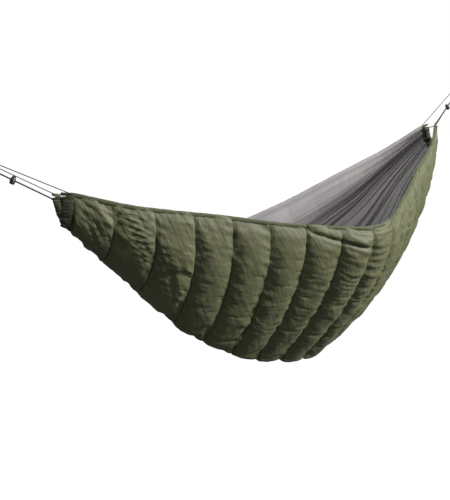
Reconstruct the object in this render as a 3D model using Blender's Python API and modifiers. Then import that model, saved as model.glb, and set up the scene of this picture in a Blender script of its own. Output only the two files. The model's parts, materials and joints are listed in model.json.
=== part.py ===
"""A quilt that hangs under a hammock, with its cords, cord locks and hooks.

The quilt hangs level along X, open at the top. The origin is its lowest point, in the middle of
its length, and y = 0 is its plane of symmetry. "near" is the -Y long side, "left" is the -X end.
"""

import math

import bmesh
import bpy
from mathutils import Matrix, Vector

# The hung shape, in metres. Each tuple runs from an end to the middle, at STATIONS.
HALF_LENGTH = 1.05
RIM_HEIGHT = 0.8404  # of the rim at the two ends, above the quilt's lowest point
STATIONS = (0.0, 0.2, 0.44, 0.72, 1.0)
RIM_DROP = (0.0, 0.092, 0.168, 0.258, 0.314)
DEPTH = (0.089, 0.215, 0.411, 0.493, 0.511)
HALF_WIDTH = (0.022, 0.126, 0.221, 0.341, 0.440)
MIDDLE_SECTION = (1.606, 1.068)  # exponents of the cross-section, see surface_point
END_SECTION = (2.3, 0.82)
EVEN_OUT = 0.6  # spreads the grid lines evenly from keel to rim

# Sewn channels
SEAM_COUNT = 16
SEAM_PITCH = 0.124
FIRST_SEAM = -0.906
CHANNEL_ENDS = 0.045  # width of the drawcord tunnel along X
SEAM_OFFSET = 0.0016  # seam to the middle of each cloth
OUTER_LOFT = 0.0134
INNER_LOFT = 0.0114
LEAST_LOFT = 0.4  # share of the loft that is left at the narrow ends
FULL_LOFT_WIDTH = 0.2  # half width of the quilt from which the loft is full
CLOTH = 0.001
PAD_GAP = 0.0025
PAD_EDGE = 0.13  # a pad starts this share of a channel away from its seam
SHOULDER = 0.25  # the puffed cloth reaches its height at this share of a channel
GRID_ACROSS = 10
RIM_S = 0.985  # the sewn layers stop here, just under the side channel
PAD_STEP = 0.25  # the last step of a pad, as a share of a grid step
PAD_RIM_DEPTH = 0.4  # its depth there, as a share of the room between the cloths

# Side and end channels
SIDE_TUBE = (0.0042, 0.0080)  # half thickness, half height
END_TUBE = (0.0055, 0.0210)
TUBE_WALL = 0.001
TUBE_AROUND = 8
TUBE_RISE = 0.0005
END_TUBE_S = 0.85
END_TUBE_STEPS = 14

# Suspension
SHOCK_CORD = 0.0015  # radius
SHOCK_EXIT = 0.006
HANG_ANGLE = math.radians(29.6)
HOOK_X = 1.340
CORD_BEND = 0.0065
CORD_BEND_STEPS = 4

# Drawcord and its lock
DRAWCORD = 0.0018  # radius
STRAND_Y = 0.0021
DRAW_LEAD = ((0.0, 0.006, 0.0), (0.008, 0.0095, 0.002), (0.020, 0.0095, 0.006))  # out, up, in
DRAW_START = (1.062, -0.012)  # where the two strands meet: x, and height over the rim's ends
DRAW_ANGLE = math.radians(32.0)
LOCK_AT = 0.149  # along the strands, from DRAW_START
LOOP_AT = 0.225
LOOP_RADIUS = 0.007
LOOP_STEPS = 3  # from each strand to the tip of the loop
LOOP_OPENING = math.radians(120)

BARREL_RADIUS = 0.0092
BARREL_END_RADIUS = 0.0074
BARREL_TOP = 0.0070
BARREL_BOTTOM = -0.0125
BARREL_STEPS = 6
BORE_RADIUS = 0.0063
BORE_FLOOR = -0.0110
PLUNGER_RADIUS = 0.0060
PLUNGER_TOP = 0.0130
PLUNGER_BOTTOM = -0.0046
PLUNGER_CROWN = 0.001
PLUNGER_TRAVEL = 0.0035
SLOT_HALF_WIDTH = 0.0043
SLOT_HALF_HEIGHT = 0.0026
SPRING_RADIUS = 0.0045
SPRING_WIRE = 0.0003
SPRING_TURNS = 3
SPRING_STEPS = 8  # a turn
SPRING_GAP = 0.0003

# Hook, in its own plane: a runs outward along the cord, b across it
HOOK_HALF_THICKNESS = 0.0025
HOOK_BAR = 0.0022  # half width of the bar that the cord goes round
HOOK_LENGTH = 0.0465
HOOK_SEAT = 0.0420
HOOK_OUTER = 0.0125
HOOK_INNER = 0.0075
HOOK_CORNER = (0.0070, 0.0030)  # outer and inner corner radius
STUB_END = 0.0092
NOSE_START = 0.0340
PIVOT = (0.0068, 0.0100)
EAR_SLOT = 0.0014
GATE_HALF_THICKNESS = 0.0011
GATE_HALF_WIDTH = 0.0019
GATE_END = 0.0336
GATE_CLEARANCE = 0.0003
CUT_MARGIN = 0.001  # a cutter passes the wall by this much
RIVET_RADIUS = 0.0012
RIVET_HOLE = 0.0013
RIVET_HEAD = 0.0020
RIVET_HALF_LENGTH = 0.0032
RIVET_PLAY = 0.0001

TURN_STEPS = 20

COLOURS = {
    "shell_cloth": ((0.085, 0.092, 0.045, 1.0), 0.55, 0.0),
    "lining_cloth": ((0.33, 0.31, 0.31, 1.0), 0.7, 0.0),
    "fill": ((0.85, 0.85, 0.82, 1.0), 0.95, 0.0),
    "binding_cloth": ((0.055, 0.062, 0.028, 1.0), 0.6, 0.0),
    "shock_cord": ((0.05, 0.05, 0.05, 1.0), 0.8, 0.0),
    "drawcord": ((0.02, 0.02, 0.02, 1.0), 0.85, 0.0),
    "lock_plastic": ((0.015, 0.015, 0.015, 1.0), 0.45, 0.0),
    "spring_steel": ((0.6, 0.6, 0.6, 1.0), 0.3, 1.0),
    "hook_alloy": ((0.05, 0.05, 0.055, 1.0), 0.4, 0.8),
}


def clear_scene():
    for obj in list(bpy.data.objects):
        bpy.data.objects.remove(obj, do_unlink=True)


def new_collection(name):
    collection = bpy.data.collections.new(name)
    bpy.context.scene.collection.children.link(collection)
    return collection


def material(name):
    found = bpy.data.materials.get(name)
    if found:
        return found
    colour, roughness, metallic = COLOURS[name]
    made = bpy.data.materials.new(name)
    made.use_nodes = True
    shader = made.node_tree.nodes["Principled BSDF"]
    shader.inputs["Base Color"].default_value = colour
    shader.inputs["Roughness"].default_value = roughness
    shader.inputs["Metallic"].default_value = metallic
    return made


def add_object(name, data, collection, material_name=None, place=None):
    """Link an object for this data. place is a world matrix, and the default is the origin."""
    obj = bpy.data.objects.new(name, data)
    collection.objects.link(obj)
    if material_name:
        data.materials.clear()
        data.materials.append(material(material_name))
    if place is not None:
        obj.matrix_world = place
    return obj


# The hung surface


def at_station(x, values):
    """Smooth value at x from the five station values, level in the middle."""
    u = min(max(1.0 - abs(x) / HALF_LENGTH, 0.0), 1.0)
    slopes = [(b - a) / (t1 - t0) for a, b, t0, t1 in zip(values, values[1:], STATIONS, STATIONS[1:])]
    tangents = [slopes[0]]
    tangents += [2.0 * p * q / (p + q) for p, q in zip(slopes, slopes[1:])]
    tangents.append(0.0)
    k = max(i for i in range(len(STATIONS) - 1) if STATIONS[i] <= u)
    span = STATIONS[k + 1] - STATIONS[k]
    t = (u - STATIONS[k]) / span
    start = values[k] * (1 + 2 * t) * (1 - t) ** 2 + tangents[k] * span * t * (1 - t) ** 2
    end = values[k + 1] * t * t * (3 - 2 * t) - tangents[k + 1] * span * t * t * (1 - t)
    return start + end


def surface_point(x, s):
    """Point of the sewn surface: s is -1 on the near rim, 0 on the keel, 1 on the far rim."""
    middle = (1.0 - min(abs(x) / HALF_LENGTH, 1.0) ** 2) ** 1.5
    power_in = MIDDLE_SECTION[0] * middle + END_SECTION[0] * (1 - middle)
    power_out = MIDDLE_SECTION[1] * middle + END_SECTION[1] * (1 - middle)
    low = math.cos(math.pi / 2 * min(abs(s), 1.0) ** EVEN_OUT)
    across = at_station(x, HALF_WIDTH) * max(1.0 - low**power_in, 0.0) ** power_out
    height = RIM_HEIGHT - at_station(x, RIM_DROP) - at_station(x, DEPTH) * low
    return Vector((x, math.copysign(across, s), height))


def outward(x, s):
    """Unit normal of the sewn surface, away from the inside of the quilt."""
    step_x, step_s = 0.001, 0.01
    along = surface_point(x + step_x, s) - surface_point(x - step_x, s)
    around = surface_point(x, s + step_s) - surface_point(x, s - step_s)
    return around.cross(along).normalized()


def loft_at(x, s, share):
    """Share of the full loft, 0 on a seam and on the rim. share is the place in the channel."""
    width = min(max(at_station(x, HALF_WIDTH) / FULL_LOFT_WIDTH, LEAST_LOFT), 1.0)
    grid_step = 2 * RIM_S / GRID_ACROSS
    edge = min(max((RIM_S - abs(s)) / grid_step, 0.0), 1.0)
    shoulder = min(min(share, 1.0 - share) / SHOULDER, 1.0)
    return width * edge * shoulder


def seam_places():
    first_edge = -HALF_LENGTH + CHANNEL_ENDS
    seams = [FIRST_SEAM + SEAM_PITCH * i for i in range(SEAM_COUNT)]
    return [first_edge] + seams + [-first_edge]


def across_places():
    return [RIM_S * (2.0 * j / GRID_ACROSS - 1.0) for j in range(GRID_ACROSS + 1)]


# Soft pieces


def grid_mesh(name, rows, columns, place):
    """A grid whose vertex (i, j) is moved to place(i, j)."""
    bm = bmesh.new()
    bmesh.ops.create_grid(bm, x_segments=rows, y_segments=columns, size=0.5)
    for vertex in bm.verts:
        i = round((vertex.co.x + 0.5) * rows)
        j = round((vertex.co.y + 0.5) * columns)
        vertex.co = place(i, j)
    bmesh.ops.triangulate(bm, faces=bm.faces, quad_method="FIXED")
    mesh = bpy.data.meshes.new(name)
    bm.to_mesh(mesh)
    bm.free()
    return mesh


def thicken(obj, thickness, group=None):
    solid = obj.modifiers.new("thickness", "SOLIDIFY")
    solid.thickness = thickness
    solid.offset = 0.0
    if group:
        solid.vertex_group = group
    return solid


def cloth_layer(name, side, loft, material_name, collection):
    """One cloth of the quilt: side is 1 outside and -1 inside."""
    seams = seam_places()
    lines = [(seams[0], 0.0)]
    for start, end in zip(seams, seams[1:]):
        lines += [(start + (end - start) * share, share) for share in (SHOULDER, 1 - SHOULDER, 1.0)]
    across = across_places()

    def place(i, j):
        x, share = lines[i]
        offset = SEAM_OFFSET + loft * loft_at(x, across[j], share)
        return surface_point(x, across[j]) + outward(x, across[j]) * offset * side

    mesh = grid_mesh(name, len(lines) - 1, GRID_ACROSS, place)
    obj = add_object(name, mesh, collection, material_name)
    thicken(obj, CLOTH)
    return obj


def fill_pad(number, start, end, collection):
    """Insulation of one channel: a pad between the cloths, thin at its edges."""
    shares = (PAD_EDGE, 0.5, 1.0 - PAD_EDGE)
    across = across_places()
    full = 2 * SEAM_OFFSET + OUTER_LOFT + INNER_LOFT - CLOTH - 2 * PAD_GAP

    def layer(x, s, share):
        loft = loft_at(x, s, share)
        middle = surface_point(x, s) + outward(x, s) * (OUTER_LOFT - INNER_LOFT) / 2 * loft
        depth = 2 * SEAM_OFFSET + (OUTER_LOFT + INNER_LOFT) * loft - CLOTH - 2 * PAD_GAP
        return middle, depth

    def at(i, j):
        share = shares[i]
        x = start + (end - start) * share
        if 0 < j < GRID_ACROSS:
            return layer(x, across[j], share)
        inner = 1 if j == 0 else GRID_ACROSS - 1
        full_point, full_depth = layer(x, across[inner], share)
        rim_point, rim_depth = layer(x, across[j], share)
        point = full_point.lerp(rim_point, PAD_STEP)
        return point, (full_depth + (rim_depth - full_depth) * PAD_STEP) * PAD_RIM_DEPTH

    name = f"fill_{number:02d}"
    mesh = grid_mesh(name, len(shares) - 1, GRID_ACROSS, lambda i, j: at(i, j)[0])
    obj = add_object(name, mesh, collection, "fill")
    group = obj.vertex_groups.new(name="loft")
    steps = [(i, j) for i in range(len(shares)) for j in range(GRID_ACROSS + 1)]
    for vertex in mesh.vertices:
        i, j = min(steps, key=lambda step: (at(*step)[0] - vertex.co).length)
        group.add([vertex.index], at(i, j)[1] / full, "REPLACE")
    thicken(obj, full, "loft")
    return obj


def tube_mesh(name, centres, frames, half_sizes):
    """An open tube of elliptic section round the centres. A frame is its two section directions."""

    def place(i, j):
        turn = 2 * math.pi * (j % TUBE_AROUND) / TUBE_AROUND
        across, up = frames[i]
        return centres[i] + across * half_sizes[0] * math.cos(turn) + up * half_sizes[1] * math.sin(turn)

    mesh = grid_mesh(name, len(centres) - 1, TUBE_AROUND, place)
    bm = bmesh.new()
    bm.from_mesh(mesh)
    bmesh.ops.remove_doubles(bm, verts=bm.verts, dist=1e-6)
    bm.to_mesh(mesh)
    bm.free()
    return mesh


def rim_centre(x, side):
    return surface_point(x, side) + Vector((0.0, 0.0, SIDE_TUBE[1] + TUBE_RISE))


def side_channel(name, side, collection):
    places = seam_places()
    centres = [rim_centre(x, side) for x in places]
    frames = []
    for i in range(len(centres)):
        along = centres[min(i + 1, len(centres) - 1)] - centres[max(i - 1, 0)]
        up = (Vector((0, 0, 1)) - along * along.z / along.length_squared).normalized()
        frames.append((along.cross(up).normalized(), up))
    obj = add_object(name, tube_mesh(name, centres, frames, SIDE_TUBE), collection, "binding_cloth")
    thicken(obj, TUBE_WALL)
    return obj


def end_path(end):
    """Centre line of the drawcord tunnel, from its near mouth round the keel to its far mouth."""
    x = end * (HALF_LENGTH - CHANNEL_ENDS / 2)
    steps = range(END_TUBE_STEPS + 1)
    return [surface_point(x, END_TUBE_S * (2 * k / END_TUBE_STEPS - 1)) for k in steps]


def end_channel(name, end, collection):
    centres = end_path(end)
    frames = []
    for i in range(len(centres)):
        along = centres[min(i + 1, len(centres) - 1)] - centres[max(i - 1, 0)]
        frames.append((along.cross(Vector((1, 0, 0))).normalized(), Vector((1, 0, 0))))
    obj = add_object(name, tube_mesh(name, centres, frames, END_TUBE), collection, "binding_cloth")
    thicken(obj, TUBE_WALL)
    return obj


# Cords


def cord(name, points, radius, material_name, collection, closed=True):
    curve = bpy.data.curves.new(name, "CURVE")
    curve.dimensions = "3D"
    curve.bevel_depth = radius
    curve.bevel_resolution = 2
    curve.use_fill_caps = not closed
    spline = curve.splines.new("POLY")
    spline.points.add(len(points) - 1)
    for point, co in zip(spline.points, points):
        point.co = (*co, 1.0)
    spline.use_cyclic_u = closed
    return add_object(name, curve, collection, material_name)


def hook_frame(end):
    """Direction of the cord at this end, outward and up, and the direction across it."""
    along = Vector((end * math.cos(HANG_ANGLE), 0, math.sin(HANG_ANGLE)))
    across = Vector((-end * math.sin(HANG_ANGLE), 0, math.cos(HANG_ANGLE)))
    return along, across


def bar_centre(end):
    """Where the shock cord goes round the hook: the swing axis runs through both of these."""
    exit_point = rim_centre(HALF_LENGTH - CHANNEL_ENDS, 1)
    rise = (HOOK_X - exit_point.x) * math.tan(HANG_ANGLE)
    return Vector((end * HOOK_X, 0.0, exit_point.z + rise))


def shock_cord(collection):
    """One loop: round the left hook, along the near rim, round the right hook, back along the far rim."""
    points = []
    for side, end in ((-1, 1), (1, -1)):
        places = seam_places() if end > 0 else seam_places()[::-1]
        run = [rim_centre(x, side) for x in places]
        points.append(run[0] + (run[0] - run[1]).normalized() * SHOCK_EXIT)
        points += run
        points.append(run[-1] + (run[-1] - run[-2]).normalized() * SHOCK_EXIT)
        along, _ = hook_frame(end)
        for step in range(CORD_BEND_STEPS + 1):
            turn = math.radians(180 * step / CORD_BEND_STEPS - 90)
            bend = along * math.cos(turn) + Vector((0, -side * math.sin(turn), 0))
            points.append(bar_centre(end) + bend * CORD_BEND)
    return cord("shock_cord", points, SHOCK_CORD, "shock_cord", collection)


def draw_frame(end):
    """Start, direction and upward normal of the straight run of the two drawcord strands."""
    start = Vector((end * DRAW_START[0], 0, RIM_HEIGHT + DRAW_START[1]))
    along = Vector((end * math.cos(DRAW_ANGLE), 0, math.sin(DRAW_ANGLE)))
    up = Vector((-end * math.sin(DRAW_ANGLE), 0, math.cos(DRAW_ANGLE)))
    return start, along, up


def drawcord(name, end, collection):
    """One loop: through the end channel, together through the lock, and a round end beyond it."""
    start, along, _ = draw_frame(end)
    path = end_path(end)
    lead = [path[-1] + Vector((end * out, -inward, up)) for out, up, inward in DRAW_LEAD]
    strand = Vector((0, STRAND_Y, 0))
    lead += [start + strand, start + along * (LOOP_AT - 2 * LOOP_RADIUS) + strand]
    centre = start + along * LOOP_AT
    for step in range(LOOP_STEPS + 1):
        turn = LOOP_OPENING * (1 - step / LOOP_STEPS)
        bend = along * math.cos(turn) + Vector((0, math.sin(turn), 0))
        lead.append(centre + bend * LOOP_RADIUS)
    mirrored = [Vector((p.x, -p.y, p.z)) for p in lead]
    points = path + lead[:-1] + [centre + along * LOOP_RADIUS] + mirrored[:-1][::-1]
    return cord(name, points, DRAWCORD, "drawcord", collection)


# Turned and cut pieces


def turned(name, profile, material_name, collection, place):
    """Screw a profile of (radius, height) points that runs top to bottom on its outer side."""
    mesh = bpy.data.meshes.new(name)
    points = [(radius, 0.0, height) for radius, height in profile]
    mesh.from_pydata(points, [(i, i + 1) for i in range(len(points) - 1)], [])
    obj = add_object(name, mesh, collection, material_name, place)
    screw = obj.modifiers.new("turn", "SCREW")
    screw.steps = TURN_STEPS
    screw.render_steps = TURN_STEPS
    screw.use_merge_vertices = True
    screw.merge_threshold = 1e-5
    screw.use_smooth_shade = True
    return obj


def box_cutter(name, low, high, collection, place):
    bm = bmesh.new()
    bmesh.ops.create_cube(bm, size=1.0)
    size = Vector(high) - Vector(low)
    for vertex in bm.verts:
        vertex.co = Vector(low) + Vector((a * b for a, b in zip(vertex.co + Vector((0.5,) * 3), size)))
    mesh = bpy.data.meshes.new(name)
    bm.to_mesh(mesh)
    bm.free()
    return as_cutter(add_object(name, mesh, collection, place=place))


def rod_cutter(name, radius, half_length, collection, place):
    bm = bmesh.new()
    bmesh.ops.create_cone(
        bm, cap_ends=True, segments=TURN_STEPS, radius1=radius, radius2=radius, depth=2 * half_length
    )
    mesh = bpy.data.meshes.new(name)
    bm.to_mesh(mesh)
    bm.free()
    return as_cutter(add_object(name, mesh, collection, place=place))


def as_cutter(obj):
    obj.hide_render = True
    obj.display_type = "WIRE"
    return obj


def cut(obj, cutter):
    difference = obj.modifiers.new("cut_" + cutter.name, "BOOLEAN")
    difference.operation = "DIFFERENCE"
    difference.solver = "EXACT"
    difference.object = cutter


def frame_matrix(origin, x_axis, z_axis):
    y_axis = z_axis.cross(x_axis)
    axes = Matrix((x_axis, y_axis, z_axis)).transposed()
    return Matrix.Translation(origin) @ axes.to_4x4()


def cord_lock(label, end, collection, cutters):
    """Barrel, plunger and spring on the two strands. Local x is along the strands, z is up."""
    start, along, up = draw_frame(end)
    place = frame_matrix(start + along * LOCK_AT, along, up)
    middle = (BARREL_TOP + BARREL_BOTTOM) / 2
    half = (BARREL_TOP - BARREL_BOTTOM) / 2
    swell = BARREL_RADIUS - BARREL_END_RADIUS
    profile = [(0.0, BORE_FLOOR), (BORE_RADIUS, BORE_FLOOR), (BORE_RADIUS, BARREL_TOP)]
    for step in range(BARREL_STEPS + 1):
        height = 1.0 - 2 * step / BARREL_STEPS
        profile.append((BARREL_END_RADIUS + swell * (1 - height**2), middle + half * height))
    profile.append((0.0, BARREL_BOTTOM))
    barrel = turned(f"cord_lock_{label}_barrel", profile, "lock_plastic", collection, place)
    slot = box_cutter(
        f"barrel_slot_{label}",
        (-2 * BARREL_RADIUS, -SLOT_HALF_WIDTH, -SLOT_HALF_HEIGHT),
        (2 * BARREL_RADIUS, SLOT_HALF_WIDTH, SLOT_HALF_HEIGHT),
        cutters,
        place,
    )
    cut(barrel, slot)

    profile = [
        (0.0, PLUNGER_TOP),
        (PLUNGER_RADIUS - 2 * PLUNGER_CROWN, PLUNGER_TOP),
        (PLUNGER_RADIUS, PLUNGER_TOP - PLUNGER_CROWN),
        (PLUNGER_RADIUS, PLUNGER_BOTTOM),
        (0.0, PLUNGER_BOTTOM),
    ]
    plunger = turned(f"cord_lock_{label}_plunger", profile, "lock_plastic", collection, place)
    slot = box_cutter(
        f"plunger_slot_{label}",
        (-2 * PLUNGER_RADIUS, -SLOT_HALF_WIDTH, -SLOT_HALF_HEIGHT),
        (2 * PLUNGER_RADIUS, SLOT_HALF_WIDTH, SLOT_HALF_HEIGHT + PLUNGER_TRAVEL),
        cutters,
        place,
    )
    cut(plunger, slot)

    low = BORE_FLOOR + SPRING_GAP + SPRING_WIRE
    high = PLUNGER_BOTTOM - SPRING_GAP - SPRING_WIRE
    count = SPRING_TURNS * SPRING_STEPS
    points = []
    for i in range(count + 1):
        turn = 2 * math.pi * i / SPRING_STEPS
        offset = Vector((math.cos(turn), math.sin(turn), 0)) * SPRING_RADIUS
        points.append(offset + Vector((0, 0, low + (high - low) * i / count)))
    spring = cord(f"cord_lock_{label}_spring", points, SPRING_WIRE, "spring_steel", collection, False)
    spring.matrix_world = place


# Hooks


def arc(centre, radius, start, end, steps=4):
    """Points of an arc between two angles in degrees."""
    turns = [math.radians(start + (end - start) * k / steps) for k in range(steps + 1)]
    return [(centre[0] + radius * math.cos(t), centre[1] + radius * math.sin(t)) for t in turns]


def flat_piece(name, outlines, half_thickness, material_name, collection, place):
    """A plate from flat outlines in local x and y: the first is its edge, the rest are holes."""
    curve = bpy.data.curves.new(name, "CURVE")
    curve.dimensions = "2D"
    curve.fill_mode = "BOTH"
    curve.extrude = half_thickness
    for outline in outlines:
        spline = curve.splines.new("POLY")
        spline.points.add(len(outline) - 1)
        for point, (a, b) in zip(spline.points, outline):
            point.co = (a, b, 0.0, 1.0)
        spline.use_cyclic_u = True
    guide = add_object(name + "_outline", curve, collection)
    bpy.context.view_layer.update()
    evaluated = guide.evaluated_get(bpy.context.evaluated_depsgraph_get())
    mesh = bpy.data.meshes.new_from_object(evaluated)
    bpy.data.objects.remove(guide, do_unlink=True)
    bm = bmesh.new()
    bm.from_mesh(mesh)
    bmesh.ops.remove_doubles(bm, verts=bm.verts, dist=1e-6)
    bmesh.ops.recalc_face_normals(bm, faces=bm.faces)
    bm.to_mesh(mesh)
    bm.free()
    return add_object(name, mesh, collection, material_name, place)


def hook_outline():
    """The C of the hook: its outer edge one way round, its inner edge back."""
    outer, inner = HOOK_CORNER
    high = HOOK_OUTER - outer
    low = HOOK_INNER - inner
    right, left = HOOK_LENGTH - outer, -HOOK_BAR + outer
    seat, bar = HOOK_SEAT - inner, HOOK_BAR + inner
    points = [(NOSE_START, HOOK_OUTER)]
    points += arc((right, high), outer, 90, 0)
    points += arc((right, -high), outer, 0, -90)
    points += arc((left, -high), outer, -90, -180)
    points += arc((left, high), outer, 180, 90)
    points += [(STUB_END, HOOK_OUTER), (STUB_END, HOOK_INNER)]
    points += arc((bar, low), inner, 90, 180)
    points += arc((bar, -low), inner, 180, 270)
    points += arc((seat, -low), inner, 270, 360)
    points += arc((seat, low), inner, 0, 90)
    return points + [(NOSE_START, HOOK_INNER)]


def hook(label, end, collection, cutters):
    """Body, gate and gate rivet. Local x is along the cord, local y is across it, z is along Y."""
    along, across = hook_frame(end)
    place = frame_matrix(bar_centre(end), along, along.cross(across))
    body = flat_piece(
        f"hook_{label}_body", [hook_outline()], HOOK_HALF_THICKNESS, "hook_alloy", collection, place
    )
    slot = box_cutter(
        f"ear_slot_{label}",
        (PIVOT[0] - GATE_HALF_WIDTH - GATE_CLEARANCE, HOOK_INNER - CUT_MARGIN, -EAR_SLOT),
        (STUB_END + CUT_MARGIN, HOOK_OUTER + CUT_MARGIN, EAR_SLOT),
        cutters,
        place,
    )
    cut(body, slot)
    pivot_place = place @ Matrix.Translation((*PIVOT, 0.0))
    cut(body, rod_cutter(f"ear_hole_{label}", RIVET_HOLE, 2 * HOOK_HALF_THICKNESS, cutters, pivot_place))

    edge = arc(PIVOT, GATE_HALF_WIDTH, 90, 270, 8)
    corner = GATE_HALF_WIDTH / 2
    edge += arc((GATE_END - corner, PIVOT[1] - corner), corner, 270, 360)
    edge += arc((GATE_END - corner, PIVOT[1] + corner), corner, 0, 90)
    hole = arc(PIVOT, RIVET_HOLE, 0, 360 - 360 / TURN_STEPS, TURN_STEPS - 1)
    flat_piece(f"hook_{label}_gate", [edge, hole], GATE_HALF_THICKNESS, "hook_alloy", collection, place)

    shank = HOOK_HALF_THICKNESS + RIVET_PLAY
    profile = [
        (0.0, RIVET_HALF_LENGTH),
        (RIVET_HEAD, RIVET_HALF_LENGTH),
        (RIVET_HEAD, shank),
        (RIVET_RADIUS, shank),
        (RIVET_RADIUS, -shank),
        (RIVET_HEAD, -shank),
        (RIVET_HEAD, -RIVET_HALF_LENGTH),
        (0.0, -RIVET_HALF_LENGTH),
    ]
    turned(f"hook_{label}_rivet", profile, "spring_steel", collection, pivot_place)


def main():
    clear_scene()
    quilt = new_collection("camp_quilt")
    cutters = new_collection("cutters")
    cloth_layer("outer_shell", 1, OUTER_LOFT, "shell_cloth", quilt)
    cloth_layer("inner_lining", -1, INNER_LOFT, "lining_cloth", quilt)
    seams = seam_places()
    for number, (start, end) in enumerate(zip(seams, seams[1:]), 1):
        fill_pad(number, start, end, quilt)
    side_channel("side_channel_near", -1, quilt)
    side_channel("side_channel_far", 1, quilt)
    shock_cord(quilt)
    for label, end in (("left", -1), ("right", 1)):
        end_channel(f"end_channel_{label}", end, quilt)
        drawcord(f"drawcord_{label}", end, quilt)
        cord_lock(label, end, quilt, cutters)
        hook(label, end, quilt, cutters)


main()
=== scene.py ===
"""A quilt that hangs under a hammock: its cloth, tapes, cords, materials, light and camera.

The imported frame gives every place. X runs along the hang, near is -Y, left is -X. The cloth is
a grid over the hung surface, in rows along X and columns from the near rim to the far rim.
Lengths are in metres and angles in radians, unless a comment says otherwise.
"""

import json
import math

import bpy
import numpy as np
from mathutils import Matrix, Vector, noise


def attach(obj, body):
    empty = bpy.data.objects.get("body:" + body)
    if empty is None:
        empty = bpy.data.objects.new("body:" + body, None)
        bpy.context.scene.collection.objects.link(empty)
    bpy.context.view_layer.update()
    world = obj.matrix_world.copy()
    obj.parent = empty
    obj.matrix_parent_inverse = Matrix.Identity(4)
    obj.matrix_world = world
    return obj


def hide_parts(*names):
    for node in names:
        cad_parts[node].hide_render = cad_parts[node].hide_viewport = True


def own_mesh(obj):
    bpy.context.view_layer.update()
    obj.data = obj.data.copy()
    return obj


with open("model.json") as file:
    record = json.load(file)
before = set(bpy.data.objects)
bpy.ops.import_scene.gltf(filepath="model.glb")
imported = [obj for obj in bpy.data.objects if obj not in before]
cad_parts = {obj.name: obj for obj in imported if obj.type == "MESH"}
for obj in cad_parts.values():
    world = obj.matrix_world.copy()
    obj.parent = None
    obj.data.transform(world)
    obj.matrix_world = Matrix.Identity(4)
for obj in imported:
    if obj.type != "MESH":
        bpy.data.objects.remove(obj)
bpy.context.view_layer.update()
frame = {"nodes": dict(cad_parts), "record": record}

# The hung surface, as in the CAD design. Values over STATIONS run from an end to the middle.
HALF_LENGTH = 1.05
RIM_HEIGHT = 0.8404
STATIONS = (0.0, 0.2, 0.44, 0.72, 1.0)
RIM_DROP = (0.0, 0.092, 0.168, 0.258, 0.314)
DEPTH = (0.089, 0.215, 0.411, 0.493, 0.511)
HALF_WIDTH = (0.022, 0.126, 0.221, 0.341, 0.440)
MIDDLE_SECTION = (1.606, 1.068)  # the two powers that shape the section
END_SECTION = (2.3, 0.82)
EVEN_OUT = 0.6
PINCH = 0.1  # the cloth of both sides is drawn together at the ends, over PINCH_REACH
PINCH_REACH = 0.055

# Sewn channels
SEAM_COUNT = 16
SEAM_PITCH = 0.124
FIRST_SEAM = -0.906
CHANNEL_ENDS = 0.045  # width of the end tunnels
EDGE_TUCK = 0.008  # the cloths run this far into the end tunnels
RIM_TUCKS = (0.005, 0.011, 0.016)  # heights of the columns inside the side binding
SEAM_GAP = 0.0012  # seam to the middle of each cloth
CLOTH = 0.0007
ROWS_A_CHANNEL = 14
COLUMNS = 260
ROW_CROWDING = 0.3  # 0 spaces the rows of a channel evenly, 1 crowds them towards its seams
ON_SEAM = 1e-6  # a row nearer than this to a seam lies on it

# Loft: how far the cloths stand off the sewn surface
OUTER_LOFT = 0.0150
LINING_LOFT = 0.0014
PUFF_POWERS = (2.8, 0.55)  # shape of the puff between two seams
RIM_FADE = 0.07  # the loft fades to nothing over this share of the half girth
RIM_FADE_POWER = 0.6
LEAST_LOFT = 0.45
FULL_LOFT_WIDTH = 0.2
KEEL_LOSS, KEEL_REACH = 0.25, 0.12  # share of the loft that is missing along the keel

# Cloth simulation
SLACK = 0.045  # extra cloth that the stuffed channels gather in
PRESSURE = 4.0
SIM_FRAMES = 20
START_LOFT = 0.62  # share of the loft that the simulation starts from
PINNED_RIM = 0.995
MOST_MOVE = 0.010
RIM_CALM = 0.15  # the cloth is held flat along the rims, up to CALM_REACH from them
CALM_REACH = 0.16
LEAST_CLEARANCE = 0.0009  # from the sewn surface to the finished shell

# Wrinkles of the shell
BILLOW_HEIGHT, BILLOWS_A_METRE = 0.0030, 9.0
SLANTED_HEIGHT, SLANTED_ANGLE, SLANTED_SIZE = 0.0058, math.radians(58), (0.16, 0.026)
LEVEL_HEIGHT, LEVEL_SIZE = 0.0065, (0.12, 0.020)
RIDGE_SHARPNESS, RIDGE_POWER = 3.2, 1.5
PATCHES_A_METRE, PATCH_SPAN = 5.0, (-0.3, 0.4)  # the slanted wrinkles come in patches
LEFT_SPAN, LEFT_MOST = (-0.9, -0.2), 1.2  # they die away to the right over this stretch of X
MIDDLE_RISE, MIDDLE_FALL = (-0.35, -0.05), (0.35, 0.6)  # where in X the level wrinkles lie
UPPER_SPAN = (0.18, 0.42)  # and how far below the rim they die away
SEAM_HOLD, RIM_HOLD = 0.02, 0.012  # wrinkles grow to full height this far from seam and rim

# Gathers along the seams. The two sizes: where they are highest, share of the height, how many
# a metre, and what one seam adds to the seed.
GATHER_HEIGHT = 0.0105
GATHER_SIZES = ((0.009, 1.0, 44.0, 3), (0.022, 0.8, 15.0, 5))
GATHER_LEAN = 0.45  # their slant away from the seam
GATHER_SWAY, SWAYS_A_METRE = 0.9, 6.0  # how much the slant varies
GATHER_STRENGTH = (0.55, 0.9, 5.0)  # mean strength, how much it varies, variations a metre
STRENGTH_LIMITS = (0.1, 1.3)

# Folds that run out of the gathered ends. The two sizes: height, reach along X, fineness.
END_FOLD_SIZES = ((0.0045, 0.22, 1.0), (0.0027, 0.06, 2.6))
END_FOLDS, END_FOLD_SLANT, END_FOLD_WANDER = 7.0, 34.0, 1.2
END_FOLD_START = (-0.004, 0.02)  # they grow to full height over this stretch, from the end tunnel

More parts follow.
